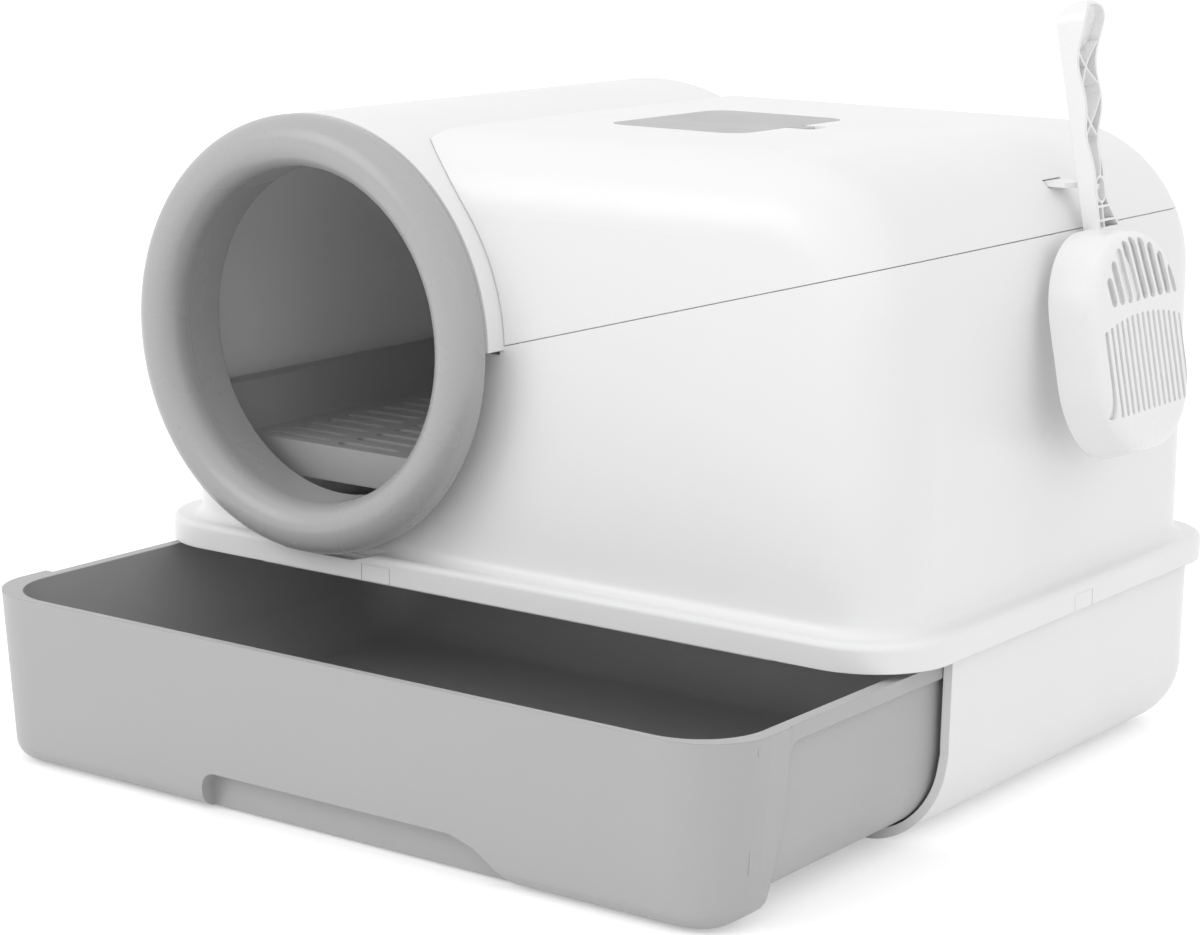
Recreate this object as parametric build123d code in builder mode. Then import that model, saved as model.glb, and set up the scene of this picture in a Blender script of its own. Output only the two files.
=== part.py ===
from build123d import *
from math import atan2, degrees
import os

# Enclosed litter box for a cat: a moulded hood with a round entrance and a
# flip-up lid, standing on a sled-shaped base that a litter drawer slides into.
# Millimetres. X to the right along the front, Y to the back, Z up. The origin
# lies on the floor under the middle of the hood's rim. The drawer is drawn
# pulled out by `drawer_pull`, and the scoop hangs on its hook.

# --- driving dimensions ------------------------------------------------------
wall = 3.0                      # moulded wall of hood, lid and base

rim_width = 555.0               # skirt round the foot of the hood
rim_depth = 395.0
rim_low = 108.0
rim_high = 124.0
rim_corner = 52.0               # plan radius of the rim's front corners
rim_corner_back = 42.0
rim_edge = 4.0                  # rounding of its top edge
rim_cove = 6.5                  # concave sweep from rim to hood wall

front_y = -186.0                # front wall of the hood
back_y = 189.5                  # back wall of the hood
box_right = 263.0               # right wall of the hood
box_top = 376.0                 # flat top of the lid
box_shoulder = 88.0             # radius between right wall and top
box_soft = 43.0                 # radius round the front and back edges
box_left = -69.0                # where the lid's top meets the round fairing

port_x = -128.0                 # axis of the entrance and of the round fairing
port_z = 253.0
fairing_r = 131.0
fairing_front = -200.0          # the fairing stands this far forward
fairing_step = 256.0            # height where its forward part ends
left_x = port_x - fairing_r     # left wall, tangent to the fairing

seam_side = 326.0               # height of the lid's seam at the right and back
seam_start_x = 1.7              # the front seam climbs from here ...
seam_start_z = 258.0            # ... at this height
seam_end_x = 254.4              # ... to where the shoulder has the side's height
seam_gap = 0.4

ring_outer = 131.0              # soft entrance ring
ring_bore = 100.5
ring_mid_y = -205.0
ring_dip = 119.0                # the rim is lowered to this under the ring
ring_nose = 16.0                # how far it bulges forward of that
collar_wall = 3.0
collar_back = -175.0
collar_tabs = ((45, fairing_front), (135, fairing_front), (270, front_y), (330, front_y))

hinge_y = 195.0                 # lid hinge behind the back wall
hinge_z = 330.0
hinge_places = (45.0, 205.0)
hinge_pin_r = 2.0
hinge_pin_gap = 0.06
hinge_eye_r = 5.0
hinge_tongue = 14.0
hinge_ear = 5.0

base_half = 271.5               # half width of the base under the rim
base_back = 188.5
base_top = 120.4
base_mouth = -131.0             # front edge of the base's side walls
mouth_knee = 52.0               # below this height it slants forward
base_corner = 44.0
base_foot_lead = 15.0           # the floor runs this much further forward
bead = 2.4                      # rolled edge round the base's mouth
bead_long = 5.0

drawer_pull = 150.0             # photographed position, 0 is closed
closed_front = -194.5           # its front when closed
drawer_front = closed_front - drawer_pull
drawer_back = 28.0
drawer_top = 104.0
fascia_low = 1.6
fascia_mid = -2.2
fascia_half = 268.7
fascia_wrap = 59.0              # how far the front wraps round the sides
fascia_corner = 40.0
fascia_draft = 4.0              # degrees
fascia_turn = 28.0              # its lower corners, seen from the front
fascia_edge = 11.0              # rounding of its lower edge
tray_half = 261.0
tray_low = 8.0
tray_corner = 30.0
flange_half = 265.0
flange_height = 9.0
flange_sweep = 10.0             # radius where the flange runs into the front
drawer_wall = 3.2
pull_x0, pull_x1 = -94.0, 132.0    # finger recess in the drawer's lower edge
pull_top = 24.0
pull_deep = 17.0

plate_x, plate_y = 34.0, -6.0   # filter cover in the lid's top
plate_w, plate_d = 96.0, 122.0
plate_t = 2.6

hook_y = 31.0                   # scoop hook in the lid's right shoulder
hook_z = 351.0
hook_t = 3.0
hook_w = 20.0
hook_root = 224.0
hook_neck_x = 252.5             # from here on it is only as wide as its neck
hook_neck = 5.4
hook_tip = 265.0
filter_deep = 15.0

scoop_x, scoop_z = 264.0, 332.0    # middle of the scoop's upper rim edge
scoop_tilt = 11.0               # degrees, its lower end stands out from the hood
scoop_mid_y = 17.0
scoop_w = 113.0
scoop_high = 131.0
scoop_rise = -5.0               # rim above the point named first
scoop_deep = 29.0
scoop_corner = 48.0
scoop_draft = 9.0               # degrees
scoop_edge = 9.0
scoop_wall = 2.0
slot_upper_w, slot_lower_w = 6.4, 2.8
grip_left = 24.0                # flat side of the handle
grip_back = -5.0
grip_top = 124.0
grip_foot = -14.0
grip_wall = 2.2
grip_rib = 1.5
hang_hole_u = 16.8              # height of the hanging hole above the rim point
hang_hole_w, hang_hole_h = 8.4, 13.0
hang_boss = 1.4
lower_slots = (17.0, -109.5, 6.5)          # middle, foot, spacing
upper_slots = (24.0, -48.3, 9.5)

step_x0, step_x1 = -226.0, -36.0   # entrance step behind the ring
step_y0, step_y1 = -158.0, 145.0
step_z = 176.0
step_t = 3.0
step_ledges = (-218.0, -43.0)

latch_w = 22.0                  # latch tabs in both sides and the front of the rim
latch_y = 10.0
latch_front_x = -84.0
latch_top = 118.0
latch_ridge = 3.0


def rounded(width, depth, radius):
    """closed plan outline used for rims, plates and pads"""
    return RectangleRounded(width, depth, radius)


# --- hood: outer form and the space inside it --------------------------------
def hood_volume(inset):
    """box, left wall and round fairing in one solid; an inset gives the inside"""
    right, top, left = box_right - inset, box_top - inset, box_left + inset
    shoulder, soft = box_shoulder - inset, box_soft - inset
    fy, by = front_y + inset, back_y - inset
    foot = rim_high - wall - (8 if inset else 0)
    with BuildPart() as box:
        with BuildSketch(Plane.XZ.offset(-by)):
            with BuildLine():
                Polyline((left, top - 4), (left, foot), (right, foot), (right, top - shoulder))
                RadiusArc((right, top - shoulder), (right - shoulder, top), -shoulder)
                Polyline((right - shoulder, top), (left + 4, top), (left, top - 4))
            make_face()
        extrude(amount=by - fy)
        for y in (fy, by):
            chain = [e for e in box.edges() if abs(e.center().Y - y) < 0.1
                     and e.center().Z > foot + 1 and e.center().X > left + 6]
            fillet(chain, soft)
    r = fairing_r - inset
    with BuildPart() as round_side:
        with BuildSketch(Plane.XZ.offset(-by)):
            with BuildLine():
                Polyline((port_x - r, port_z), (port_x - r, foot), (port_x + r, foot), (port_x + r, port_z))
                ThreePointArc((port_x + r, port_z), (port_x, port_z + r), (port_x - r, port_z))
            make_face()
        extrude(amount=by - fy)
        for y in (fy, by):
            chain = [e for e in round_side.edges() if abs(e.center().Y - y) < 0.1
                     and (abs(e.center().X - port_x) > r - 1 or e.geom_type == GeomType.CIRCLE)]
            fillet(chain, soft)
    with BuildPart() as fairing:
        with BuildSketch(Plane.XZ.offset(-(fy + 80))):
            with BuildLine():
                ThreePointArc((port_x - r, port_z), (port_x, port_z + r), (port_x + r, port_z))
                Line((port_x + r, port_z), (port_x - r, port_z))
            make_face()
        extrude(amount=fy + 80 - fairing_front - inset)
    with BuildPart() as whole:
        add(box.part)
        add(round_side.part)
        add(fairing.part)
    return whole.part


def lid_region(grow):
    """everything above the seam and right of the round fairing"""
    with BuildPart() as region:
        slope = (seam_side - seam_start_z) / (seam_end_x - seam_start_x)
        with BuildSketch(Plane.XZ):
            with BuildLine():
                x0, x1, top = port_x, box_right + 40, box_top + 60
                Polyline((x0, seam_start_z + slope * (x0 - seam_start_x) - grow), (x0, top), (x1, top),
                         (x1, seam_side - grow), (seam_end_x, seam_side - grow),
                         (x0, seam_start_z + slope * (x0 - seam_start_x) - grow))
            make_face()
        extrude(amount=300)
        with BuildSketch(Plane.XZ):
            with Locations(((port_x + box_right + 40) / 2, seam_side - grow)):
                Rectangle(box_right + 40 - port_x, 120, align=(Align.CENTER, Align.MIN))
        extrude(amount=-300)
        with BuildSketch(Plane.XZ.offset(300)):
            with Locations((port_x, port_z)):
                Circle(fairing_r + seam_gap - grow)
        extrude(amount=-600, mode=Mode.SUBTRACT)
    return region.part


def rim_outline(inset):
    """plan of the rim, with larger corners at the front than at the back"""
    x, y = rim_width / 2 - inset, rim_depth / 2 - inset
    f, b = rim_corner - inset, rim_corner_back - inset
    with BuildSketch(mode=Mode.PRIVATE) as plan:
        Rectangle(2 * x, 2 * y)
        fillet(plan.vertices().group_by(Axis.Y)[0], f)
        fillet(plan.vertices().group_by(Axis.Y)[-1], b)
    return plan.sketch


with BuildPart() as hood_foot:
    # the rim, and a low kerb on the hood's outline whose foot is swept out to it
    with BuildSketch(Plane.XY.offset(rim_low)):
        add(rim_outline(0))
    extrude(amount=rim_high - rim_low)
    fillet(hood_foot.edges().filter_by(lambda e: abs(e.center().Z - rim_high) < 0.05), rim_edge)
    with BuildSketch(Plane.XY.offset(rim_high - 1)):
        with Locations(((box_right + left_x) / 2, (front_y + back_y) / 2)):
            rounded(box_right - left_x, back_y - front_y, box_soft)
    extrude(amount=rim_cove + 3)
    foot_loop = hood_foot.edges().filter_by(
        lambda e: abs(e.center().Z - rim_high) < 0.05 and e.center().X < box_right + 0.5
        and e.center().X > left_x - 0.5 and front_y - 0.5 < e.center().Y < back_y + 0.5)
    fillet(foot_loop, rim_cove)
    # dip that clears the entrance ring
    with BuildSketch(Plane.XZ.offset(-front_y + 2)):
        with BuildLine():
            Polyline((port_x - 46, rim_high + 30), (port_x - 46, rim_high + 1), (port_x - 26, ring_dip),
                     (port_x + 26, ring_dip), (port_x + 46, rim_high + 1), (port_x + 46, rim_high + 30),
                     close=True)
        make_face()
    extrude(amount=30, mode=Mode.SUBTRACT)

with BuildPart() as hood_shell:
    add(hood_volume(0))
    # the forward part of the fairing ends in a step on its right side
    with BuildSketch(Plane.XZ.offset(-front_y)):
        with Locations((port_x + fairing_r, fairing_step)):
            Rectangle(60, 12, align=(Align.CENTER, Align.MAX))
    extrude(amount=40, mode=Mode.SUBTRACT)
    add(hood_foot.part)
    add(hood_volume(wall), mode=Mode.SUBTRACT)
    # hollow under the rim that drops over the base
    with BuildSketch(Plane.XY.offset(rim_low - 1)):
        add(rim_outline(wall))
    extrude(amount=rim_high - wall - rim_low + 1, mode=Mode.SUBTRACT)
    # entrance hole, stepping forward under the fairing
    with BuildSketch(Plane.XZ.offset(-front_y - 40)):
        with Locations((port_x, port_z)):
            Circle(ring_bore + collar_wall + 0.5)
    extrude(amount=80, mode=Mode.SUBTRACT)
    # the rim is solid where it dips under the entrance ring
    with BuildSketch(Plane.XY.offset(rim_low + 3)):
        with Locations((port_x, -rim_depth / 2 + wall - 0.5)):
            Rectangle(100, 9, align=(Align.CENTER, Align.MIN))
    extrude(amount=ring_dip - rim_low - 6)
    # stiffening rib under the front of the rim
    with BuildSketch(Plane.XY.offset(drawer_top + 1)):
        with Locations((5, -188)):
            rounded(372, 3, 1.4)
    extrude(amount=rim_high - wall - drawer_top - 1)
    # ledges that carry the entrance step: left wall, front and back
    with BuildSketch(Plane.XZ.offset(-step_y1)):
        with BuildLine():
            Polyline((left_x + 1.5, 184), (left_x + 1.5, 201.5), (left_x + 18, 201.5), close=True)
        make_face()
    extrude(amount=step_y1 - step_y0)
    for x in step_ledges:
        with BuildSketch(Plane.YZ.offset(x)):
            with BuildLine():
                Polyline((front_y + 1.5, 150), (front_y + 1.5, 172.7), (front_y + 34, 172.7),
                         (front_y + 34, 169), (front_y + 1.5, 150))
            make_face()
            with BuildLine():
                Polyline((back_y - 1.5, 130), (back_y - 1.5, 172.7), (step_y1 - 8, 172.7),
                         (step_y1 - 8, 168), close=True)
            make_face()
        extrude(amount=4, both=True)
    # lid opening
    add(lid_region(seam_gap / 2), mode=Mode.SUBTRACT)
    # hinge ears behind the right-hand part of the back wall
    for x in hinge_places:
        for side in (-1, 1):
            with BuildSketch(Plane.YZ.offset(x + side * (hinge_tongue / 2 + 0.5 + hinge_ear / 2))):
                with Locations((hinge_y, hinge_z)):
                    Circle(hinge_eye_r)
                with BuildLine():
                    Polyline((back_y - 1, 300), (hinge_y + hinge_eye_r, hinge_z - 6),
                             (hinge_y + hinge_eye_r, hinge_z), (back_y + 0.6, hinge_z),
                             (back_y + 0.6, seam_side - 1), (back_y - 1, seam_side - 1), (back_y - 1, 300))
                make_face()
                with Locations((hinge_y, hinge_z)):
                    Circle(hinge_pin_r - 0.02, mode=Mode.SUBTRACT)
            extrude(amount=hinge_ear / 2, both=True)
    # windows for the latch tabs in both sides of the rim
    for side in (-1, 1):
        with BuildSketch(Plane.XY.offset(rim_low - 1)):
            with Locations((side * (rim_width / 2 - wall - 0.5), latch_y)):
                Rectangle(8, latch_w, align=(Align.MIN if side > 0 else Align.MAX, Align.CENTER))
        extrude(amount=latch_top - rim_low + 1, mode=Mode.SUBTRACT)
    # and for the one in its front
    with BuildSketch(Plane.XY.offset(rim_low - 1)):
        with Locations((latch_front_x, -rim_depth / 2 - 1)):
            Rectangle(latch_w, wall + 0.5, align=(Align.CENTER, Align.MIN))
    extrude(amount=latch_top - rim_low + 1, mode=Mode.SUBTRACT)

with BuildPart() as rim_latches:
    # a tab in each side of the rim, with a grip ridge just outside the base's wall
    for side in (-1, 1):
        with BuildSketch(Plane.XY.offset(rim_low)):
            with Locations((side * (rim_width / 2 - 0.1), latch_y)):
                Rectangle(wall - 0.2, latch_w - 0.8, align=(Align.MAX if side > 0 else Align.MIN, Align.CENTER))
        extrude(amount=latch_top - rim_low)
        with BuildSketch(Plane.XY.offset(rim_low + 1)):
            with Locations((side * (base_half + 0.4), latch_y)):
                Rectangle(4, latch_w - 5, align=(Align.MIN if side > 0 else Align.MAX, Align.CENTER))
        extrude(amount=latch_ridge)
    with BuildSketch(Plane.XY.offset(rim_low)):
        with Locations((latch_front_x, -rim_depth / 2 + 0.1)):
            Rectangle(latch_w - 0.8, wall - 0.8, align=(Align.CENTER, Align.MIN))
    extrude(amount=latch_top - rim_low)

port_axis = Axis((port_x, 0, port_z), (0, 1, 0))
port_plane = Plane(origin=(port_x, 0, port_z), x_dir=(1, 0, 0), z_dir=(0, 0, 1))

with BuildPart() as entry_ring:
    mid = (ring_outer + ring_bore) / 2
    half = (ring_outer - ring_bore) / 2
    with BuildSketch(port_plane):
        with BuildLine():
            EllipticalCenterArc((mid, ring_mid_y), half, ring_nose, start_angle=180, arc_size=180)
            Polyline((ring_outer, ring_mid_y), (ring_outer, ring_mid_y + 2),
                     (ring_outer - 3, fairing_front), (ring_bore, fairing_front), (ring_bore, ring_mid_y))
        make_face()
    revolve(axis=port_axis)

with BuildPart() as entry_collar:
    with BuildSketch(port_plane):
        outer = ring_bore + collar_wall
        with Locations(((ring_bore + outer) / 2, (fairing_front + collar_back) / 2)):
            Rectangle(collar_wall, collar_back - fairing_front)
    revolve(axis=port_axis)
    # snap tabs behind the wall of the fairing and behind the hood's front wall
    for turn, behind in collar_tabs:
        with BuildSketch(Plane.XZ.offset(-(behind + wall + 0.2))):
            with Locations((port_x, port_z)):
                with PolarLocations(outer + 1.5, 1, start_angle=turn):
                    Rectangle(5, 16)
        extrude(amount=-3)

with BuildPart() as hinge_pins:
    for x in hinge_places:
        length = hinge_tongue + 2 * hinge_ear + 3
        with BuildSketch(Plane.YZ.offset(x - length / 2)):
            with Locations((hinge_y, hinge_z)):
                Circle(hinge_pin_r - 0.02)
        extrude(amount=length)

# --- lid ---------------------------------------------------------------------
with BuildPart() as lid_shell:
    add(hood_volume(0))
    add(hood_volume(wall), mode=Mode.SUBTRACT)
    add(lid_region(-seam_gap / 2), mode=Mode.INTERSECT)
    # thicker patch under the top for the filter's recess
    with BuildSketch(Plane.XY.offset(box_top - 7)):
        with Locations((plate_x, plate_y)):
            rounded(plate_w + 10, plate_d + 10, 19)
    extrude(amount=5)
    with BuildSketch(Plane.XY.offset(box_top - plate_t)):
        with Locations((plate_x, plate_y)):
            rounded(plate_w + 0.8, plate_d + 0.8, 15.4)
        with Locations((plate_x + plate_w / 2 + 5, plate_y)):
            rounded(26, 20, 5)
    extrude(amount=plate_t + 5, mode=Mode.SUBTRACT)
    with BuildSketch(Plane.XY.offset(box_top - plate_t - 2)):
        with Locations((plate_x, plate_y)):
            rounded(plate_w - 4, plate_d - 4, 13)
    extrude(amount=4, mode=Mode.SUBTRACT)
    with BuildSketch(Plane.XY.offset(box_top - 12)):
        with Locations((plate_x, plate_y)):
            rounded(plate_w - 11, plate_d - 11, 10)
    extrude(amount=14, mode=Mode.SUBTRACT)
    # hinge tongues
    for x in hinge_places:
        with BuildSketch(Plane.YZ.offset(x)):
            with Locations((hinge_y, hinge_z)):
                Circle(hinge_eye_r)
            with BuildLine():
                Polyline((back_y - 1.5, hinge_z + 0.5), (back_y - 1.5, hinge_z + 13),
                         (hinge_y + 1, hinge_z + hinge_eye_r - 0.1), (hinge_y, hinge_z), (back_y - 1.5, hinge_z + 0.5))
            make_face()
            with Locations((hinge_y, hinge_z)):
                Circle(hinge_pin_r + hinge_pin_gap - 0.02, mode=Mode.SUBTRACT)
        extrude(amount=hinge_tongue / 2, both=True)
    # slot for the scoop hook in the right shoulder
    with BuildSketch(Plane.XZ.offset(-hook_y)):
        with Locations((236, hook_z)):
            Rectangle(26, hook_t + 1)
    extrude(amount=hook_w / 2 + 0.6, both=True, mode=Mode.SUBTRACT)

with BuildPart() as filter_cover:
    with BuildSketch(Plane.XY.offset(box_top - plate_t + 0.1)):
        with Locations((plate_x, plate_y)):
            rounded(plate_w, plate_d, 15)
        with Locations((plate_x + plate_w / 2 + 3, plate_y)):
            rounded(18, 13, 4)
    extrude(amount=plate_t)
    fillet(filter_cover.faces().sort_by(Axis.Z)[-1].edges(), 0.6)

with BuildPart() as filter_box:
    flange_z = box_top - plate_t - 2
    with BuildSketch(Plane.XY.offset(flange_z + 0.1)):
        with Locations((plate_x, plate_y)):
            rounded(plate_w - 4.6, plate_d - 4.6, 12.7)
    extrude(amount=1.7)
    with BuildSketch(Plane.XY.offset(flange_z - filter_deep)):
        with Locations((plate_x, plate_y)):
            rounded(plate_w - 11.6, plate_d - 11.6, 9.7)
    extrude(amount=filter_deep + 0.2)
    with BuildSketch(Plane.XY.offset(flange_z - filter_deep + 2)):
        with Locations((plate_x, plate_y)):
            rounded(plate_w - 15.6, plate_d - 15.6, 7.7)
    extrude(amount=filter_deep + 2, mode=Mode.SUBTRACT)
    with BuildSketch(Plane.XY.offset(flange_z - filter_deep - 1)):
        with Locations((plate_x, plate_y)):
            with GridLocations(34, 9, 2, 11):
                SlotOverall(28, 4)
    extrude(amount=4, mode=Mode.SUBTRACT)

with BuildPart() as carbon_filter:
    with BuildSketch(Plane.XY.offset(box_top - plate_t - 2 - filter_deep + 2.2)):
        with Locations((plate_x, plate_y)):
            rounded(plate_w - 17, plate_d - 17, 7)
    extrude(amount=9)
    fillet(carbon_filter.faces().sort_by(Axis.Z)[-1].edges(), 2)

# --- scoop and its hook -------------------------------------------------------
with BuildPart() as scoop_hook:
    with BuildSketch(Plane.XY.offset(hook_z - hook_t / 2)):
        with BuildLine():
            w, n = hook_w / 2, hook_neck / 2
            Polyline((hook_root, hook_y - w), (hook_neck_x - 4, hook_y - w), (hook_neck_x, hook_y - n),
                     (hook_tip - n, hook_y - n))
            ThreePointArc((hook_tip - n, hook_y - n), (hook_tip, hook_y), (hook_tip - n, hook_y + n))
            Polyline((hook_tip - n, hook_y + n), (hook_neck_x, hook_y + n), (hook_neck_x - 4, hook_y + w),
                     (hook_root, hook_y + w), (hook_root, hook_y - w))
        make_face()
    extrude(amount=hook_t)
    # foot inside the lid
    with BuildSketch(Plane.YZ.offset(hook_root - 2.5)):
        with Locations((hook_y, hook_z + 0.5)):
            Rectangle(hook_w + 6, 8)
    extrude(amount=3)

# The scoop hangs tilted. On `hang` x runs to the back, y up along the scoop and z
# out of its open side; on `hang_side` x runs outwards and y up along the scoop.
outwards = Vector(1, 0, 0).rotate(Axis.Y, -scoop_tilt)
hang = Plane(origin=(scoop_x, 0, scoop_z), x_dir=(0, 1, 0), z_dir=outwards)
hang_side = Plane(origin=(scoop_x, 0, scoop_z), x_dir=outwards, z_dir=(0, -1, 0))


def scoop_bowl(inset):
    """blade of the scoop: open towards the hood, walls drawn in towards the grid"""
    start = -1 if inset else 0
    with BuildPart() as bowl:
        with BuildSketch(hang.offset(start)):
            with Locations((scoop_mid_y, scoop_rise - scoop_high / 2)):
                RectangleRounded(scoop_w - 2 * inset, scoop_high - 2 * inset, scoop_corner - inset)
        extrude(amount=scoop_deep - inset - start, taper=scoop_draft)
        fillet(bowl.faces().sort_by(Axis(hang.origin, outwards))[-1].edges(), scoop_edge - inset)
    return bowl.part


def grip_outline(inset):
    """handle seen from its open side: one straight side, one waved side, round end"""
    left, top = grip_left + inset, grip_top - inset
    with BuildSketch(mode=Mode.PRIVATE) as outline:
        with BuildLine():
            Polyline((54 - inset, grip_foot), (left, grip_foot), (left, top - 13))
            ThreePointArc((left, top - 13), (36.3, top), (48.6 - inset, top - 13))
            Spline((48.6 - inset, top - 13), (48.4 - inset, 95), (46.2 - inset, 76), (43.4 - inset, 57),
                   (37.6 - inset, 38), (37.0 - inset, 27), (37.6 - inset, 14), (46 - inset, 0), (54 - inset, -9))
            Line((54 - inset, -9), (54 - inset, grip_foot))
        make_face()
    return outline.sketch


with BuildPart() as grip:
    # waved front edge, with the end turned outwards, crossed with the outline above
    with BuildSketch(hang_side):
        with BuildLine():
            Polyline((4.5, grip_foot), (grip_back, grip_foot), (grip_back, grip_top - 8))
            Spline((grip_back, grip_top - 8), (1, grip_top - 1), (8, grip_top + 1), (14.2, grip_top - 4))
            Spline((14.2, grip_top - 4), (12.2, 110), (6.6, 97), (4.8, 87), (6.4, 73), (6.3, 62), (4.2, 49),
                   (6.0, 34), (6.0, 22))
            Line((6.0, 22), (4.5, grip_foot))
        make_face()
    extrude(amount=80, both=True)
    with BuildSketch(hang.offset(grip_back - 5)):
        add(grip_outline(0))
    extrude(amount=40, mode=Mode.INTERSECT)

with BuildPart() as grip_hollow:
    # channel on the open side, with a shallow dish in the handle's end
    with BuildSketch(hang_side):
        with BuildLine():
            Polyline((30, -5), (grip_back + grip_wall, -5), (grip_back + grip_wall, 95), (1.0, 99), (7.5, 113),
                     (11.5, grip_top - 3), (30, grip_top - 3), close=True)
        make_face()
    extrude(amount=80, both=True)
    with BuildSketch(hang.offset(grip_back - 5)):
        add(grip_outline(grip_wall))
    extrude(amount=40, mode=Mode.INTERSECT)

with BuildPart() as grip_ribs:
    # two crosses, a rib down to the hanging hole, and the oval boss round the hole
    ribs = (((24, 97), (47, 74)), ((46, 101), (24, 75)), ((24, 61), (41, 45)), ((45, 72), (24, 46)),
            ((37, 44), (hook_y, 24)), ((hook_y, 10), (hook_y, -8)), ((24, 7), (44, 7)), ((24, -1), (50, -1)))
    with BuildSketch(hang.offset(grip_back)):
        for start, end in ribs:
            with BuildLine(mode=Mode.PRIVATE) as rib:
                Line(start, end)
            trace(rib.line, line_width=grip_rib)
        with Locations((hook_y, hang_hole_u)):
            RectangleRounded(hang_hole_w + 2 * hang_boss, hang_hole_h + 2 * hang_boss,
                             hang_hole_w / 2 + hang_boss - 0.1)
    extrude(amount=40)
    add(grip.part, mode=Mode.INTERSECT)

with BuildPart() as scoop:
    add(grip.part)
    add(grip_hollow.part, mode=Mode.SUBTRACT)
    add(grip_ribs.part)
    with BuildSketch(hang.offset(grip_back - 1)):
        with Locations((hook_y, hang_hole_u)):
            RectangleRounded(hang_hole_w, hang_hole_h, hang_hole_w / 2 - 0.1)
    extrude(amount=20, mode=Mode.SUBTRACT)
    add(scoop_bowl(0))
    add(scoop_bowl(scoop_wall), mode=Mode.SUBTRACT)
    # nothing of the handle stays behind the rim's opening
    with BuildSketch(hang.offset(grip_back - 1)):
        with Locations((scoop_mid_y, scoop_rise - scoop_high / 2)):
            RectangleRounded(scoop_w - 2 * scoop_wall, scoop_high - 2 * scoop_wall, scoop_corner - scoop_wall)
    extrude(amount=1 - grip_back, mode=Mode.SUBTRACT)
    # sifting slots: a short leaning row above, a long upright row below
    with BuildSketch(hang.offset(scoop_deep - 6)):
        middle, foot, spacing = lower_slots
        for k in range(-7, 8):
            rise = 55 - 0.12 * k * k
            with Locations((middle + spacing * k, foot + rise / 2)):
                SlotOverall(rise, slot_lower_w, rotation=90)
        middle, foot, spacing = upper_slots
        for k in range(-4, 5):
            rise, lean = 37 - 1.25 * k * k, 9 - 0.3 * k * k
            with Locations((middle + spacing * k - lean / 2, foot + rise / 2)):
                SlotCenterToCenter(rise - slot_upper_w, slot_upper_w, rotation=degrees(atan2(rise, -lean)))
    extrude(amount=20, mode=Mode.SUBTRACT)

# --- base ----------------------------------------------------------------------
def base_volume(inset):
    """sled: flat floor, big rounded lower edges, upright walls"""
    half = base_half - inset
    with BuildPart() as sled:
        with BuildSketch(Plane.XZ.offset(-(base_back - inset))):
            with BuildLine():
                Polyline((-half + 1, 60), (-half, base_top + (inset and 5)), (half, base_top + (inset and 5)),
                         (half - 1, 60), (half - 1, base_corner))
                RadiusArc((half - 1, base_corner), (half - 1 - base_corner + inset, inset), base_corner - inset)
                Line((half - 1 - base_corner + inset, inset), (-half + 1 + base_corner - inset, inset))
                RadiusArc((-half + 1 + base_corner - inset, inset), (-half + 1, base_corner), base_corner - inset)
                Line((-half + 1, base_corner), (-half + 1, 60))
            make_face()
        extrude(amount=base_back - inset + 200)
        fillet(sled.edges().filter_by(lambda e: abs(e.center().Y - (base_back - inset)) < 0.1
                                      and e.center().Z < base_top - 1), 38 - inset)
    return sled.part


def mouth_outline(y):
    """side view of what lies in front of the base's slanted mouth"""
    return ((y, base_top + 20), (y, mouth_knee), (y - base_foot_lead, 0), (y - base_foot_lead, -10),
            (-260, -10), (-260, base_top + 20))


with BuildPart() as mouth_bead:
    # rolled bead inside the mouth
    add(base_volume(0))
    add(base_volume(wall + bead), mode=Mode.SUBTRACT)
    with BuildSketch(Plane.YZ.offset(-300)):
        with BuildLine():
            Polyline(*mouth_outline(base_mouth), close=True)
        make_face()
    extrude(amount=600, mode=Mode.SUBTRACT)
    with BuildSketch(Plane.YZ.offset(-300)):
        with BuildLine():
            Polyline(*mouth_outline(base_mouth + bead_long), close=True)
        make_face()
    extrude(amount=600, mode=Mode.INTERSECT)

with BuildPart() as base_shell:
    add(base_volume(0))
    add(base_volume(wall), mode=Mode.SUBTRACT)
    with BuildSketch(Plane.YZ.offset(-300)):
        with BuildLine():
            Polyline(*mouth_outline(base_mouth), close=True)
        make_face()
    extrude(amount=600, mode=Mode.SUBTRACT)
    add(mouth_bead.part)
    # runners that carry the drawer
    with BuildSketch(Plane.XY.offset(wall - 0.5)):
        with Locations((-170, 25), (170, 25)):
            rounded(14, 290, 6)
    extrude(amount=tray_low - 0.4 - wall + 0.5)

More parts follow.
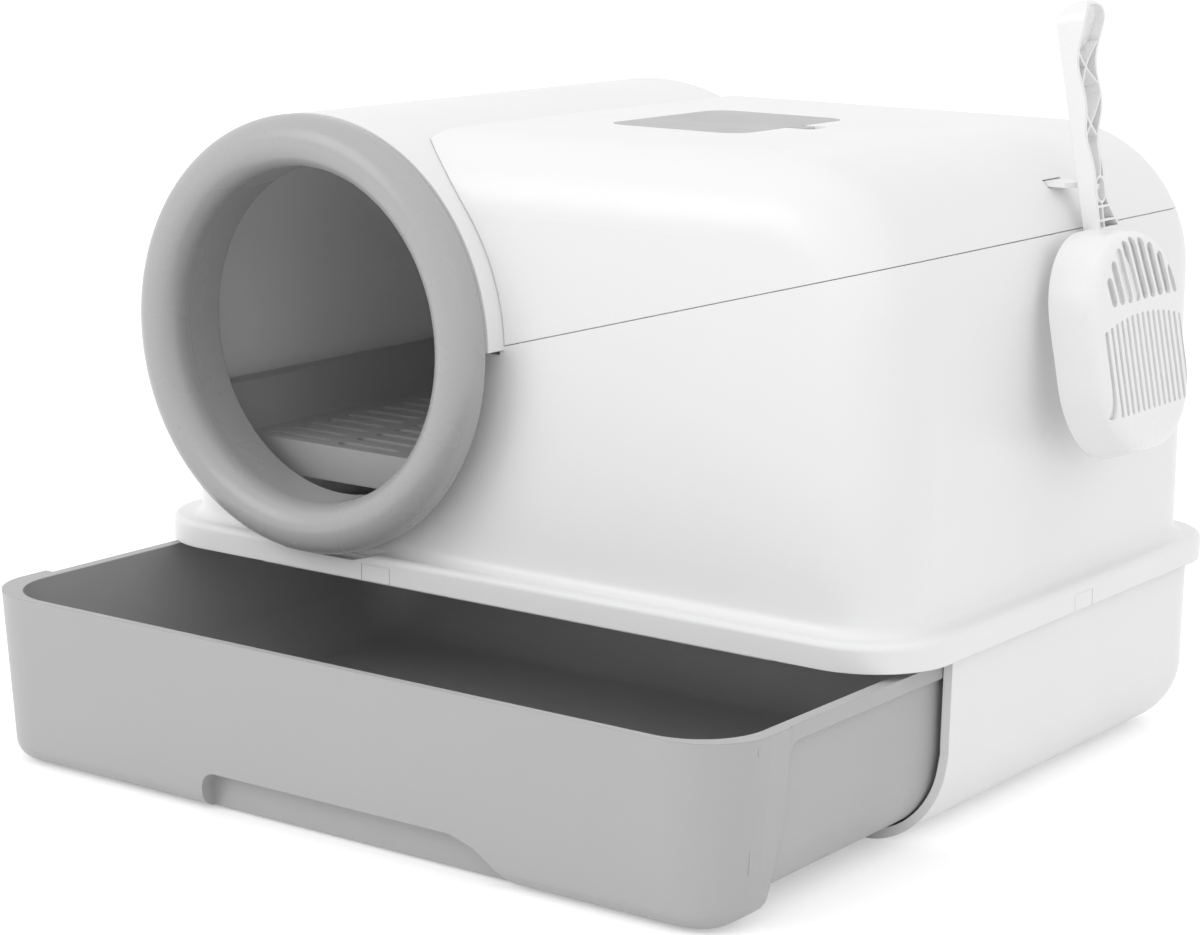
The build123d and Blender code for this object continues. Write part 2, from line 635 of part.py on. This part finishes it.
# --- drawer -----------------------------------------------------------------------
with BuildPart() as fascia:
    # wrap-round front, drawn in towards the floor, with rounded lower corners
    with BuildSketch(Plane.XY.offset(drawer_top)):
        with Locations((fascia_mid, drawer_front)):
            Rectangle(2 * fascia_half, 200, align=(Align.CENTER, Align.MIN))
        fillet(vertices().group_by(Axis.Y)[0], fascia_corner)
    extrude(amount=-(drawer_top - fascia_low), taper=fascia_draft)
    with BuildSketch(Plane.XZ.offset(-drawer_front + 10)):
        with Locations((fascia_mid, fascia_low)):
            Rectangle(2 * fascia_half, 200, align=(Align.CENTER, Align.MIN))
        fillet(vertices().group_by(Axis.Y)[0], fascia_turn)
    extrude(amount=-300, mode=Mode.INTERSECT)
    fillet(fascia.edges().filter_by(lambda e: abs(e.center().Z - fascia_low) < 0.1
                                    and e.center().Y < drawer_front + 9.5), fascia_edge)
    # its rear edge runs beside the base's mouth when the drawer is closed
    wrap_end = drawer_front + fascia_wrap
    with BuildSketch(Plane.YZ.offset(-300)):
        with BuildLine():
            Polyline((wrap_end, drawer_top + 20), (wrap_end, mouth_knee), (wrap_end - base_foot_lead, 0),
                     (wrap_end - base_foot_lead, -10), (wrap_end + 300, -10), (wrap_end + 300, drawer_top + 20),
                     close=True)
        make_face()
    extrude(amount=600, mode=Mode.SUBTRACT)
    # hollow underside behind the finger recess
    with BuildSketch(Plane.XY.offset(0)):
        with Locations((0, drawer_front + pull_deep + 2 * drawer_wall)):
            Rectangle(2 * (fascia_half - fascia_turn - 8), 80, align=(Align.CENTER, Align.MIN))
    extrude(amount=tray_low, mode=Mode.SUBTRACT)

with BuildPart() as tray_form:
    # tray behind the front, with a flange along both sides and the back
    with BuildSketch(Plane.XZ.offset(-drawer_back)):
        with Locations((0, (tray_low + drawer_top) / 2)):
            Rectangle(2 * tray_half, drawer_top - tray_low)
    extrude(amount=drawer_back - drawer_front - 30)
    fillet(tray_form.edges().filter_by(Axis.Y).filter_by(lambda e: e.center().Z < 20), tray_corner)
    fillet(tray_form.edges().filter_by(lambda e: abs(e.center().Y - drawer_back) < 0.1
                                       and e.center().Z < drawer_top - 1), tray_corner - 4)
    with BuildSketch(Plane.XY.offset(drawer_top - flange_height)):
        with Locations((0, drawer_back)):
            Rectangle(2 * flange_half, drawer_back - drawer_front - 30, align=(Align.CENTER, Align.MAX))
    extrude(amount=flange_height)
    fillet(tray_form.edges().filter_by(Axis.Z).filter_by(lambda e: e.center().Y > drawer_back - 1
                                                         and e.center().Z > drawer_top - 10), tray_corner - 2)

    # quarter-round webs where the flange runs into the wrap of the front
    web_y, web_z = drawer_front + fascia_wrap, drawer_top - flange_height
    with BuildSketch(Plane.YZ.offset(-flange_half)):
        with BuildLine():
            Polyline((web_y + flange_sweep, web_z), (web_y + flange_sweep, web_z + 2), (web_y - 2, web_z + 2),
                     (web_y - 2, web_z - flange_sweep), (web_y, web_z - flange_sweep))
            RadiusArc((web_y, web_z - flange_sweep), (web_y + flange_sweep, web_z), flange_sweep)
        make_face()
    extrude(amount=2 * flange_half)

with BuildPart() as tray_hollow:
    # room for the litter, with a large radius round its floor
    y0, y1 = drawer_front + drawer_wall + 1.5, drawer_back - drawer_wall
    with BuildSketch(Plane.XY.offset(drawer_top + 1)):
        with Locations((0, (y0 + y1) / 2)):
            rounded(2 * (tray_half - drawer_wall), y1 - y0, 40)
    extrude(amount=-(drawer_top + 1 - tray_low - drawer_wall), taper=2)
    fillet(tray_hollow.faces().sort_by(Axis.Z)[0].edges(), 30)

with BuildPart() as drawer_tray:
    add(fascia.part)
    add(tray_form.part)
    add(tray_hollow.part, mode=Mode.SUBTRACT)
    # housing round the finger recess, inside the front
    with BuildSketch(Plane.XY.offset(tray_low)):
        with Locations(((pull_x0 + pull_x1) / 2, drawer_front + 8)):
            Rectangle(pull_x1 - pull_x0 + 2 * drawer_wall, pull_deep + drawer_wall - 8,
                      align=(Align.CENTER, Align.MIN))
    extrude(amount=pull_top + drawer_wall - tray_low)
    # finger recess in the lower edge of the front
    with BuildSketch(Plane.XZ.offset(-drawer_front + 5)):
        with BuildLine():
            Polyline((pull_x0, -5), (pull_x0, pull_top - 10))
            RadiusArc((pull_x0, pull_top - 10), (pull_x0 + 10, pull_top), 10)
            Polyline((pull_x0 + 10, pull_top), (pull_x1 - 46, pull_top), (pull_x1 - 30, pull_top - 5),
                     (pull_x1, -1), (pull_x1, -5), (pull_x0, -5))
        make_face()
    extrude(amount=-(5 + pull_deep), mode=Mode.SUBTRACT)

# --- entrance step inside the hood ---------------------------------------------------
with BuildPart() as entrance_step:
    # dished cross section: shelf flange on the left wall's ledge, floor, turned-down right edge
    with BuildSketch(Plane.XZ.offset(-step_y1)):
        with BuildLine():
            section = Polyline((left_x + 9, 203.5), (step_x0 - 10, 203.5), (step_x0, step_z - step_t / 2),
                               (step_x1 - 1.5, step_z - step_t / 2), (step_x1 - 1.5, step_z - 14))
            offset(section, amount=step_t / 2, kind=Kind.INTERSECTION)
        make_face()
    extrude(amount=step_y1 - step_y0)
    with BuildSketch(Plane.XZ.offset(-step_y0)):
        with Locations(((step_x0 + step_x1) / 2 - 3, step_z)):
            Rectangle(step_x1 - step_x0 - 34, 22, align=(Align.CENTER, Align.MAX))
    extrude(amount=-step_t)
    with BuildSketch(Plane.XY.offset(step_z - step_t - 1)):
        with Locations(((step_x0 + step_x1) / 2 - 1, (step_y0 + step_y1) / 2 + 4)):
            with GridLocations(56, 18, 3, 17):
                SlotOverall(46, 7)
    extrude(amount=step_t + 2, mode=Mode.SUBTRACT)

pieces = {
    "base_shell": base_shell, "drawer_tray": drawer_tray, "hood_shell": hood_shell,
    "rim_latches": rim_latches, "entry_ring": entry_ring, "entry_collar": entry_collar,
    "entrance_step": entrance_step, "hinge_pins": hinge_pins, "lid_shell": lid_shell,
    "filter_box": filter_box, "carbon_filter": carbon_filter, "filter_cover": filter_cover,
    "scoop_hook": scoop_hook, "scoop": scoop,
}
os.makedirs("parts", exist_ok=True)
for name, piece in pieces.items():
    piece.part.label = name
    export_step(piece.part, f"parts/{name}.step")
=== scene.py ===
from math import asin, atan, cos, hypot, pi, radians, sin

import bmesh
import bpy
from mathutils import Matrix, Vector


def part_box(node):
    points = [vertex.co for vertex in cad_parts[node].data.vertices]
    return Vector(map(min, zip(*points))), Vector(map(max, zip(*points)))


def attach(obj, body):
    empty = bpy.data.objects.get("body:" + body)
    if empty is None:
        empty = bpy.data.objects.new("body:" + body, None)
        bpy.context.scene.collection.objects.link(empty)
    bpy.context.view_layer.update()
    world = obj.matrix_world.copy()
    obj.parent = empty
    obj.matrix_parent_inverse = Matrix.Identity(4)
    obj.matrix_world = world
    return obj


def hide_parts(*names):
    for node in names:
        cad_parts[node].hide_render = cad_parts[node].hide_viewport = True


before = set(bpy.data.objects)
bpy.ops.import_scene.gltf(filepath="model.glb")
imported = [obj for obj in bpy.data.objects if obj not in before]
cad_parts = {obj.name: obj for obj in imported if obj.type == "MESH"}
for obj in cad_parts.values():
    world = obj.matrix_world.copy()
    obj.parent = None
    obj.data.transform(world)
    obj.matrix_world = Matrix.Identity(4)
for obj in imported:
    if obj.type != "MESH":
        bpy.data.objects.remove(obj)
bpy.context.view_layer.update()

# --- camera ---------------------------------------------------------------------
# A long lens a step to the right of the front and a little above the box, level
# with someone who kneels in front of it.
yaw, pitch, roll = radians(35.96), radians(11.83), radians(0.60)
ahead = Vector((-sin(yaw) * cos(pitch), cos(yaw) * cos(pitch), -sin(pitch)))
flat_right = Vector((cos(yaw), sin(yaw), 0))
flat_up = flat_right.cross(ahead)
cam_right = flat_right * cos(roll) + flat_up * sin(roll)
cam_up = -flat_right * sin(roll) + flat_up * cos(roll)
lens = bpy.data.cameras.new("camera")
lens.lens, lens.sensor_width = 92.2, 36.0
stand = Vector((1.06593, -1.55622, 0.55119))
camera = bpy.data.objects.new("camera", lens)
camera.matrix_world = Matrix((
    (cam_right.x, cam_up.x, -ahead.x, stand.x),
    (cam_right.y, cam_up.y, -ahead.y, stand.y),
    (cam_right.z, cam_up.z, -ahead.z, stand.z),
    (0, 0, 0, 1)))
bpy.context.collection.objects.link(camera)
bpy.context.scene.camera = camera

# --- studio -----------------------------------------------------------------------
# White paper floor without an end, even light from all round, a wide soft box at
# the upper left of the front and weaker ones above and at the right.
bpy.context.scene.view_settings.view_transform = "Standard"


def fresh_tree(owner):
    """the emptied node tree of a world or a material"""
    owner.use_nodes = True
    owner.node_tree.nodes.clear()
    return owner.node_tree


def white_for_camera(tree, lit, shown):
    """`shown` is what the lens and mirrors see, `lit` is what lights the object"""
    path = tree.nodes.new("ShaderNodeLightPath")
    either = tree.nodes.new("ShaderNodeMath")
    either.operation = "MAXIMUM"
    pick = tree.nodes.new("ShaderNodeMixShader")
    tree.links.new(path.outputs["Is Camera Ray"], either.inputs[0])
    tree.links.new(path.outputs["Is Glossy Ray"], either.inputs[1])
    tree.links.new(either.outputs[0], pick.inputs["Fac"])
    tree.links.new(lit, pick.inputs[1])
    tree.links.new(shown, pick.inputs[2])
    return pick.outputs[0]


world = bpy.data.worlds.new("studio")
bpy.context.scene.world = world
tree = fresh_tree(world)
room = tree.nodes.new("ShaderNodeBackground")
room.inputs["Color"].default_value = (1, 1, 1, 1)
room.inputs["Strength"].default_value = 0.91
paper_white = tree.nodes.new("ShaderNodeBackground")
paper_white.inputs["Color"].default_value = (1, 1, 1, 1)
paper_white.inputs["Strength"].default_value = 1.0
out = tree.nodes.new("ShaderNodeOutputWorld")
tree.links.new(white_for_camera(tree, room.outputs[0], paper_white.outputs[0]), out.inputs["Surface"])

aim = Vector((0, 0, 0.2))
for name, place, width, height, watts in (
        ("soft_box_left", (-1.5, -2.6, 1.9), 1.8, 1.8, 20),
        ("soft_box_top", (0.2, 0.1, 2.6), 1.6, 1.6, 2),
        ("soft_box_right", (2.4, -1.6, 1.1), 1.2, 1.6, 2)):
    light = bpy.data.lights.new(name, "AREA")
    light.shape, light.size, light.size_y, light.energy = "RECTANGLE", width, height, watts
    soft_box = bpy.data.objects.new(name, light)
    soft_box.location = place
    soft_box.rotation_euler = (aim - Vector(place)).to_track_quat("-Z", "Y").to_euler()
    bpy.context.collection.objects.link(soft_box)

floor_half = 12
floor_corners = [(x * floor_half, y * floor_half, 0) for x, y in ((-1, -1), (1, -1), (1, 1), (-1, 1))]
floor_mesh = bpy.data.meshes.new("floor")
floor_mesh.from_pydata(floor_corners, [], [(0, 1, 2, 3)])
floor = bpy.data.objects.new("floor", floor_mesh)
bpy.context.collection.objects.link(floor)
paper = bpy.data.materials.new("floor_paper")
tree = fresh_tree(paper)
dull = tree.nodes.new("ShaderNodeBsdfDiffuse")
dull.inputs["Color"].default_value = (0.88, 0.88, 0.88, 1)
lift = tree.nodes.new("ShaderNodeEmission")
lift.inputs["Color"].default_value = (1, 1, 1, 1)
lift.inputs["Strength"].default_value = 0.37
seen = tree.nodes.new("ShaderNodeAddShader")
tree.links.new(dull.outputs[0], seen.inputs[0])
tree.links.new(lift.outputs[0], seen.inputs[1])
out = tree.nodes.new("ShaderNodeOutputMaterial")
tree.links.new(white_for_camera(tree, dull.outputs[0], seen.outputs[0]), out.inputs["Surface"])
floor_mesh.materials.append(paper)

# --- base -----------------------------------------------------------------------------
# Sled-shaped shell under the hood, injection-moulded in white polypropylene with a
# satin finish. The drawer slides in through its rolled mouth.


def moulded_skin_group():
    """colour, roughness and normal of a moulded skin: slow sink waves, handled
    patches, fine mould grain, rubbed edges and dust low down"""
    g = bpy.data.node_groups.new("moulded_skin", "ShaderNodeTree")
    for name, kind, value in (
            ("Colour", "NodeSocketColor", (0.8, 0.8, 0.8, 1)), ("Tone", "NodeSocketFloat", 0.02),
            ("Roughness", "NodeSocketFloat", 0.35), ("Grain per metre", "NodeSocketFloat", 1500.0),
            ("Grain depth", "NodeSocketFloat", 0.00003), ("Edge radius", "NodeSocketFloat", 0.0008),
            ("Edge wear", "NodeSocketFloat", 0.06), ("Dust", "NodeSocketFloat", 0.03)):
        socket = g.interface.new_socket(name, in_out="INPUT", socket_type=kind)
        socket.default_value = value
    for name, kind in (("Colour", "NodeSocketColor"), ("Roughness", "NodeSocketFloat"),
                       ("Normal", "NodeSocketVector")):
        g.interface.new_socket(name, in_out="OUTPUT", socket_type=kind)
    given, result = g.nodes.new("NodeGroupInput"), g.nodes.new("NodeGroupOutput")
    place = g.nodes.new("ShaderNodeTexCoord")

    def wire(source, target):
        g.links.new(source, target)

    def noise(scale, detail):
        node = g.nodes.new("ShaderNodeTexNoise")
        node.inputs["Detail"].default_value = detail
        wire(place.outputs["Object"], node.inputs["Vector"])
        if isinstance(scale, float):
            node.inputs["Scale"].default_value = scale
        else:
            wire(scale, node.inputs["Scale"])
        return node.outputs["Fac"]

    def maths(operation, *terms):
        node = g.nodes.new("ShaderNodeMath")
        node.operation = operation
        for i, term in enumerate(terms):
            if isinstance(term, float):
                node.inputs[i].default_value = term
            else:
                wire(term, node.inputs[i])
        return node.outputs[0]

    def remap(value, low, high, to_low, to_high):
        node = g.nodes.new("ShaderNodeMapRange")
        for i, number in enumerate((low, high, to_low, to_high), 1):
            node.inputs[i].default_value = number
        wire(value, node.inputs[0])
        return node.outputs[0]

    # rubbed edges: where the rounded normal leaves the flat one
    soft_edge = g.nodes.new("ShaderNodeBevel")
    soft_edge.samples = 4
    wire(given.outputs["Edge radius"], soft_edge.inputs["Radius"])
    flat = g.nodes.new("ShaderNodeNewGeometry")
    likeness = g.nodes.new("ShaderNodeVectorMath")
    likeness.operation = "DOT_PRODUCT"
    wire(soft_edge.outputs[0], likeness.inputs[0])
    wire(flat.outputs["Normal"], likeness.inputs[1])
    edge = remap(likeness.outputs["Value"], 0.995, 0.90, 0.0, 1.0)
    worn = maths("MULTIPLY", edge, maths("MULTIPLY", given.outputs["Edge wear"], noise(60.0, 3.0)))

    # the colour drifts a little; dust settles on what looks up, more so near the floor
    drift = maths("MULTIPLY", maths("SUBTRACT", noise(9.0, 3.0), 0.5), given.outputs["Tone"])
    up = g.nodes.new("ShaderNodeSeparateXYZ")
    wire(flat.outputs["Normal"], up.inputs[0])
    height = g.nodes.new("ShaderNodeSeparateXYZ")
    wire(place.outputs["Object"], height.inputs[0])
    low = remap(height.outputs["Z"], 0.0, 0.14, 1.0, 0.25)
    settled = maths("MULTIPLY", remap(up.outputs["Z"], 0.3, 1.0, 0.0, 1.0), low)
    dust = maths("MULTIPLY", maths("MULTIPLY", settled, given.outputs["Dust"]), noise(35.0, 6.0))
    shade = maths("ADD", maths("ADD", drift, worn), 1.0)
    toned = g.nodes.new("ShaderNodeVectorMath")
    toned.operation = "SCALE"
    wire(given.outputs["Colour"], toned.inputs[0])
    wire(shade, toned.inputs["Scale"])
    powder = g.nodes.new("ShaderNodeMix")
    powder.data_type = "RGBA"
    powder.inputs["B"].default_value = (0.62, 0.60, 0.57, 1)
    wire(dust, powder.inputs["Factor"])
    wire(toned.outputs[0], powder.inputs["A"])
    wire(powder.outputs["Result"], result.inputs["Colour"])

    # handled patches are duller, rubbed edges a little brighter, dust is matt
    handled = remap(noise(22.0, 5.0), 0.35, 0.70, -0.05, 0.07)
    rough = maths("ADD", maths("ADD", given.outputs["Roughness"], handled), maths("MULTIPLY", dust, 2.0))
    rubbed = maths("SUBTRACT", rough, maths("MULTIPLY", worn, 0.6))
    wire(maths("MINIMUM", maths("MAXIMUM", rubbed, 0.05), 1.0), result.inputs["Roughness"])

    # relief: slow sink waves of a cooled wall under the fine grain of the mould
    sink = maths("MULTIPLY", noise(6.0, 1.0), 0.00035)
    grain = maths("MULTIPLY", noise(given.outputs["Grain per metre"], 2.0), given.outputs["Grain depth"])
    relief = g.nodes.new("ShaderNodeBump")
    relief.inputs["Distance"].default_value = 1.0
    wire(maths("ADD", sink, grain), relief.inputs["Height"])
    wire(soft_edge.outputs[0], relief.inputs["Normal"])
    wire(relief.outputs[0], result.inputs["Normal"])
    return g


moulded_skin = moulded_skin_group()


def plastic(name, colour, roughness, **skin_values):
    """a moulded plastic: the skin above on a Principled shader"""
    material = bpy.data.materials.new(name)
    material.use_nodes = True
    t = material.node_tree
    shader = t.nodes["Principled BSDF"]
    shader.inputs["IOR"].default_value = 1.49
    skin = t.nodes.new("ShaderNodeGroup")
    skin.node_tree = moulded_skin
    skin.inputs["Colour"].default_value = (*colour, 1)
    skin.inputs["Roughness"].default_value = roughness
    for label, value in skin_values.items():
        skin.inputs[label.replace("_", " ").capitalize()].default_value = value
    t.links.new(skin.outputs["Colour"], shader.inputs["Base Color"])
    t.links.new(skin.outputs["Roughness"], shader.inputs["Roughness"])
    t.links.new(skin.outputs["Normal"], shader.inputs["Normal"])
    return material


def dress(material, *nodes):
    """gives carried CAD nodes their material"""
    for node in nodes:
        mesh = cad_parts[node].data
        mesh.materials.clear()
        mesh.materials.append(material)


white_shell = plastic("white_shell", (0.88, 0.88, 0.885), 0.34)
dress(white_shell, "base_shell")

# --- litter drawer ----------------------------------------------------------------------
# Grey polypropylene drawer with a wrap-round front. It is handled and scraped most,
# so its skin is duller and its edges are rubbed more.
grey_drawer = plastic("grey_drawer", (0.455, 0.455, 0.46), 0.38, tone=0.03, edge_wear=0.12, dust=0.06)
dress(grey_drawer, "drawer_tray")

# --- hood and its latch tabs ---------------------------------------------------------------
# White shell with the rim that drops over the base, and the spring tabs in that rim
# that catch it. Both come out of the same mould and have the base's finish.
dress(white_shell, "hood_shell", "rim_latches")

# --- seam lip ----------------------------------------------------------------------------------
# Upstand inside the hood's upper edge that the lid closes over. It is moulded with
# the hood, follows the seam, and keeps light and dust out of the gap.
box_right, front_y = 0.263, -0.186
shoulder_r, soft_r = 0.088, 0.043
shoulder_x, shoulder_z = box_right - shoulder_r, 0.288
seam_start_x, seam_start_z = 0.0017, 0.258
seam_end_x, seam_side_z = 0.2544, 0.326
seam_slope = (seam_side_z - seam_start_z) / (seam_end_x - seam_start_x)
lip_inset, lip_height, lip_thick = 0.00365, 0.010, 0.0012


def seam_point(turn):
    """point of the seam on the hood's soft front corner, and the skin's outward normal;
    turn 0 is on the front wall and 1 on the shoulder"""
    bend = turn * pi / 2
    reach = shoulder_r - soft_r + soft_r * sin(bend)
    rise = seam_slope * (shoulder_x - seam_start_x) - (shoulder_z - seam_start_z)
    lean = atan(seam_slope) + asin(rise / (reach * hypot(1, seam_slope)))
    skin = Vector((sin(bend) * cos(lean), -cos(bend), sin(bend) * sin(lean)))
    centre = Vector((shoulder_x, front_y + soft_r, shoulder_z))
    ring = Vector((cos(lean), 0, sin(lean))) * (shoulder_r - soft_r)
    return centre + ring + skin * soft_r, skin


lip_front_xs, lip_side_ys, corner_steps = (0.012, 0.06, 0.12, 0.17), (0.004, 0.07, 0.135), 12
lip_route = [(Vector((x, front_y, seam_start_z + seam_slope * (x - seam_start_x))), Vector((0, -1, 0)))
             for x in lip_front_xs]
lip_route += [seam_point(i / corner_steps) for i in range(corner_steps + 1)]
side_lean = asin((seam_side_z - shoulder_z) / shoulder_r)
side_skin = Vector((cos(side_lean), 0, sin(side_lean)))
side_x = shoulder_x + shoulder_r * cos(side_lean)
lip_route += [(Vector((side_x, y, seam_side_z)), side_skin) for y in lip_side_ys]

lip_curve = bpy.data.curves.new("seam_lip_route", "CURVE")
lip_curve.dimensions, lip_curve.twist_mode = "3D", "Z_UP"
spline = lip_curve.splines.new("POLY")
spline.points.add(len(lip_route) - 1)
for point, (place, skin) in zip(spline.points, lip_route):
    point.co = (*(place - skin * lip_inset), 1)
    point.tilt = -asin(skin.z)
lip_tool = bpy.data.objects.new("seam_lip_tool", lip_curve)
bpy.context.collection.objects.link(lip_tool)

lip_tree = bpy.data.node_groups.new("seam_lip_sweep", "GeometryNodeTree")
lip_tree.interface.new_socket("Geometry", in_out="INPUT", socket_type="NodeSocketGeometry")
for label in ("Height", "Thickness"):
    lip_tree.interface.new_socket(label, in_out="INPUT", socket_type="NodeSocketFloat")
lip_tree.interface.new_socket("Material", in_out="INPUT", socket_type="NodeSocketMaterial")
lip_tree.interface.new_socket("Geometry", in_out="OUTPUT", socket_type="NodeSocketGeometry")
start, end = lip_tree.nodes.new("NodeGroupInput"), lip_tree.nodes.new("NodeGroupOutput")
section = lip_tree.nodes.new("GeometryNodeCurvePrimitiveQuadrilateral")
sweep = lip_tree.nodes.new("GeometryNodeCurveToMesh")
sweep.inputs["Fill Caps"].default_value = True
real = lip_tree.nodes.new("GeometryNodeRealizeInstances")
paint = lip_tree.nodes.new("GeometryNodeSetMaterial")
for source, target in ((start.outputs["Thickness"], section.inputs["Width"]),
                       (start.outputs["Height"], section.inputs["Height"]),
                       (start.outputs["Geometry"], sweep.inputs["Curve"]),
                       (section.outputs["Curve"], sweep.inputs["Profile Curve"]),
                       (sweep.outputs["Mesh"], real.inputs["Geometry"]),
                       (real.outputs["Geometry"], paint.inputs["Geometry"]),
                       (start.outputs["Material"], paint.inputs["Material"]),
                       (paint.outputs["Geometry"], end.inputs["Geometry"])):
    lip_tree.links.new(source, target)


def solid_from(tool, tree, name, **values):
    """runs a Geometry Nodes tree on a tool object and keeps the result as a plain mesh"""
    run = tool.modifiers.new("run", "NODES")
    run.node_group = tree
    for item in tree.interface.items_tree:
        if item.in_out == "INPUT" and item.name.lower() in values:
            run[item.identifier] = values[item.name.lower()]
    evaluated = tool.evaluated_get(bpy.context.evaluated_depsgraph_get())
    piece = bpy.data.objects.new(name, bpy.data.meshes.new_from_object(evaluated))
    bpy.data.objects.remove(tool)
    bpy.context.collection.objects.link(piece)
    return piece


seam_lip = solid_from(lip_tool, lip_tree, "seam_lip", height=lip_height, thickness=lip_thick,
                      material=white_shell)
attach(seam_lip, "hood")

# --- entrance ring and collar -------------------------------------------------------------------
# Glossier grey ring with a round nose, pushed on from the front. The collar behind
# it carries snap tabs that hold both in the hood's entrance hole.
grey_ring = plastic("grey_ring", (0.44, 0.44, 0.445), 0.26, edge_wear=0.04)
dress(grey_ring, "entry_ring", "entry_collar")

# --- entrance step ---------------------------------------------------------------------------------
# Slotted grey tray that the animal steps on; litter falls through it. It lies on
# the hood's ledges and has a fine matt texture against slipping.
grey_step = plastic("grey_step", (0.40, 0.40, 0.40), 0.5, grain_per_metre=900.0, grain_depth=0.00008,
                    dust=0.15)
dress(grey_step, "entrance_step")

# --- hinge pins ------------------------------------------------------------------------------------
# Two white rods pressed through the ears of the hood and the lid's tongues.
dress(white_shell, "hinge_pins")

# --- lid --------------------------------------------------------------------------------------------
# White flip-up lid with the recess for the filter, from the same material as the hood.
dress(white_shell, "lid_shell")

# --- filter box and cover ----------------------------------------------------------------------------
# Shallow grey box with a slotted floor that drops into the lid, and the flat grey
# cover with a finger tab that closes it flush with the top.
grey_cover = plastic("grey_cover", (0.46, 0.46, 0.46), 0.42, grain_per_metre=1100.0, grain_depth=0.00006)
dress(grey_step, "filter_box")
dress(grey_cover, "filter_cover")

# --- carbon filter pad --------------------------------------------------------------------------------
# Needle-punched felt filled with carbon, cut to the box, its broad faces a little sunk. It
# lies loose in the filter box under the cover.
low, high = (Vector(corner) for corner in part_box("carbon_filter"))
pad_mid = (low + high) / 2
pad_half_x, pad_half_y, pad_half_z = (high - low) / 2
pad_corner, pad_edge, least_corner = 0.007, 0.0035, 0.0008
felt_sides, felt_rings = 16, 12
sunk_deep, sunk_steps = 0.0006, 9


def pad_outline(shrink):
    """points of the pad's rounded outline, drawn in by `shrink`"""
    r = max(pad_corner - shrink, least_corner)
    ring = []
    for sx, sy, first in ((1, 1, 0), (-1, 1, 1), (-1, -1, 2), (1, -1, 3)):
        cx, cy = sx * (pad_half_x - shrink - r), sy * (pad_half_y - shrink - r)
        for i in range(felt_sides):
            a = (first + i / (felt_sides - 1)) * pi / 2
            ring.append((cx + r * cos(a), cy + r * sin(a)))
    return ring


felt = bmesh.new()
loops = []
for i in range(felt_rings + 1):
    a = -pi / 2 + pi * i / felt_rings
    shrink = pad_edge * (1 - cos(a))
    lift_z = (pad_half_z - pad_edge) * (1 if a > 0 else -1 if a < 0 else 0) + pad_edge * sin(a)
    loops.append([felt.verts.new((pad_mid.x + x, pad_mid.y + y, pad_mid.z + lift_z))
                  for x, y in pad_outline(shrink)])
count = len(loops[0])
for lower, upper in zip(loops, loops[1:]):
    for i in range(count):
        j = (i + 1) % count
        felt.faces.new((lower[i], lower[j], upper[j], upper[i]))
for loop, side in ((loops[0], -1), (loops[-1], 1)):
    inner = loop
    for step in range(1, sunk_steps):
        keep = 1 - step / sunk_steps
        sunk = -side * sunk_deep * (1 - keep * keep)
        ring = [felt.verts.new((pad_mid.x + (v.co.x - pad_mid.x) * keep,
                                pad_mid.y + (v.co.y - pad_mid.y) * keep,
                                loop[0].co.z + sunk)) for v in loop]
        for i in range(count):
            j = (i + 1) % count
            quad = (inner[i], inner[j], ring[j], ring[i])
            felt.faces.new(quad if side > 0 else quad[::-1])
        inner = ring
    middle = felt.verts.new((pad_mid.x, pad_mid.y, loop[0].co.z - side * sunk_deep))
    for i in range(count):
        tri = (inner[i], inner[(i + 1) % count], middle)
        felt.faces.new(tri if side > 0 else tri[::-1])
felt_mesh = bpy.data.meshes.new("filter_felt")
felt.to_mesh(felt_mesh)
felt.free()
felt_mesh.polygons.foreach_set("use_smooth", [True] * len(felt_mesh.polygons))
filter_felt = bpy.data.objects.new("filter_felt", felt_mesh)
bpy.context.collection.objects.link(filter_felt)

carbon_felt = bpy.data.materials.new("carbon_felt")
carbon_felt.use_nodes = True
tree = carbon_felt.node_tree
shader = tree.nodes["Principled BSDF"]
shader.inputs["Sheen Weight"].default_value = 0.3
shader.inputs["Roughness"].default_value = 0.9
place = tree.nodes.new("ShaderNodeTexCoord")
fibres = tree.nodes.new("ShaderNodeTexNoise")
fibres.inputs["Scale"].default_value, fibres.inputs["Detail"].default_value = 700.0, 6.0
fibres.inputs["Distortion"].default_value = 2.5
grains = tree.nodes.new("ShaderNodeTexVoronoi")
grains.inputs["Scale"].default_value = 900.0
ramp = tree.nodes.new("ShaderNodeValToRGB")
ramp.color_ramp.elements[0].color = (0.012, 0.012, 0.013, 1)
ramp.color_ramp.elements[1].color = (0.075, 0.075, 0.078, 1)
tufts = tree.nodes.new("ShaderNodeBump")
tufts.inputs["Strength"].default_value, tufts.inputs["Distance"].default_value = 0.8, 0.0006
for source, target in ((place.outputs["Object"], fibres.inputs["Vector"]),
                       (place.outputs["Object"], grains.inputs["Vector"]),
                       (fibres.outputs["Fac"], ramp.inputs["Fac"]),
                       (ramp.outputs["Color"], shader.inputs["Base Color"]),
                       (grains.outputs["Distance"], tufts.inputs["Height"]),
                       (tufts.outputs["Normal"], shader.inputs["Normal"])):
    tree.links.new(source, target)
felt_mesh.materials.append(carbon_felt)
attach(filter_felt, "lid")
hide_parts("carbon_filter")

# --- scoop and its hook --------------------------------------------------------------------------------
# White sifting scoop, moulded in one piece with a ribbed handle. It hangs by its
# oval hole on a white tongue that is clipped into a slot of the lid's shoulder.
white_scoop = plastic("white_scoop", (0.90, 0.90, 0.90), 0.32, edge_radius=0.0006)
dress(white_scoop, "scoop", "scoop_hook")
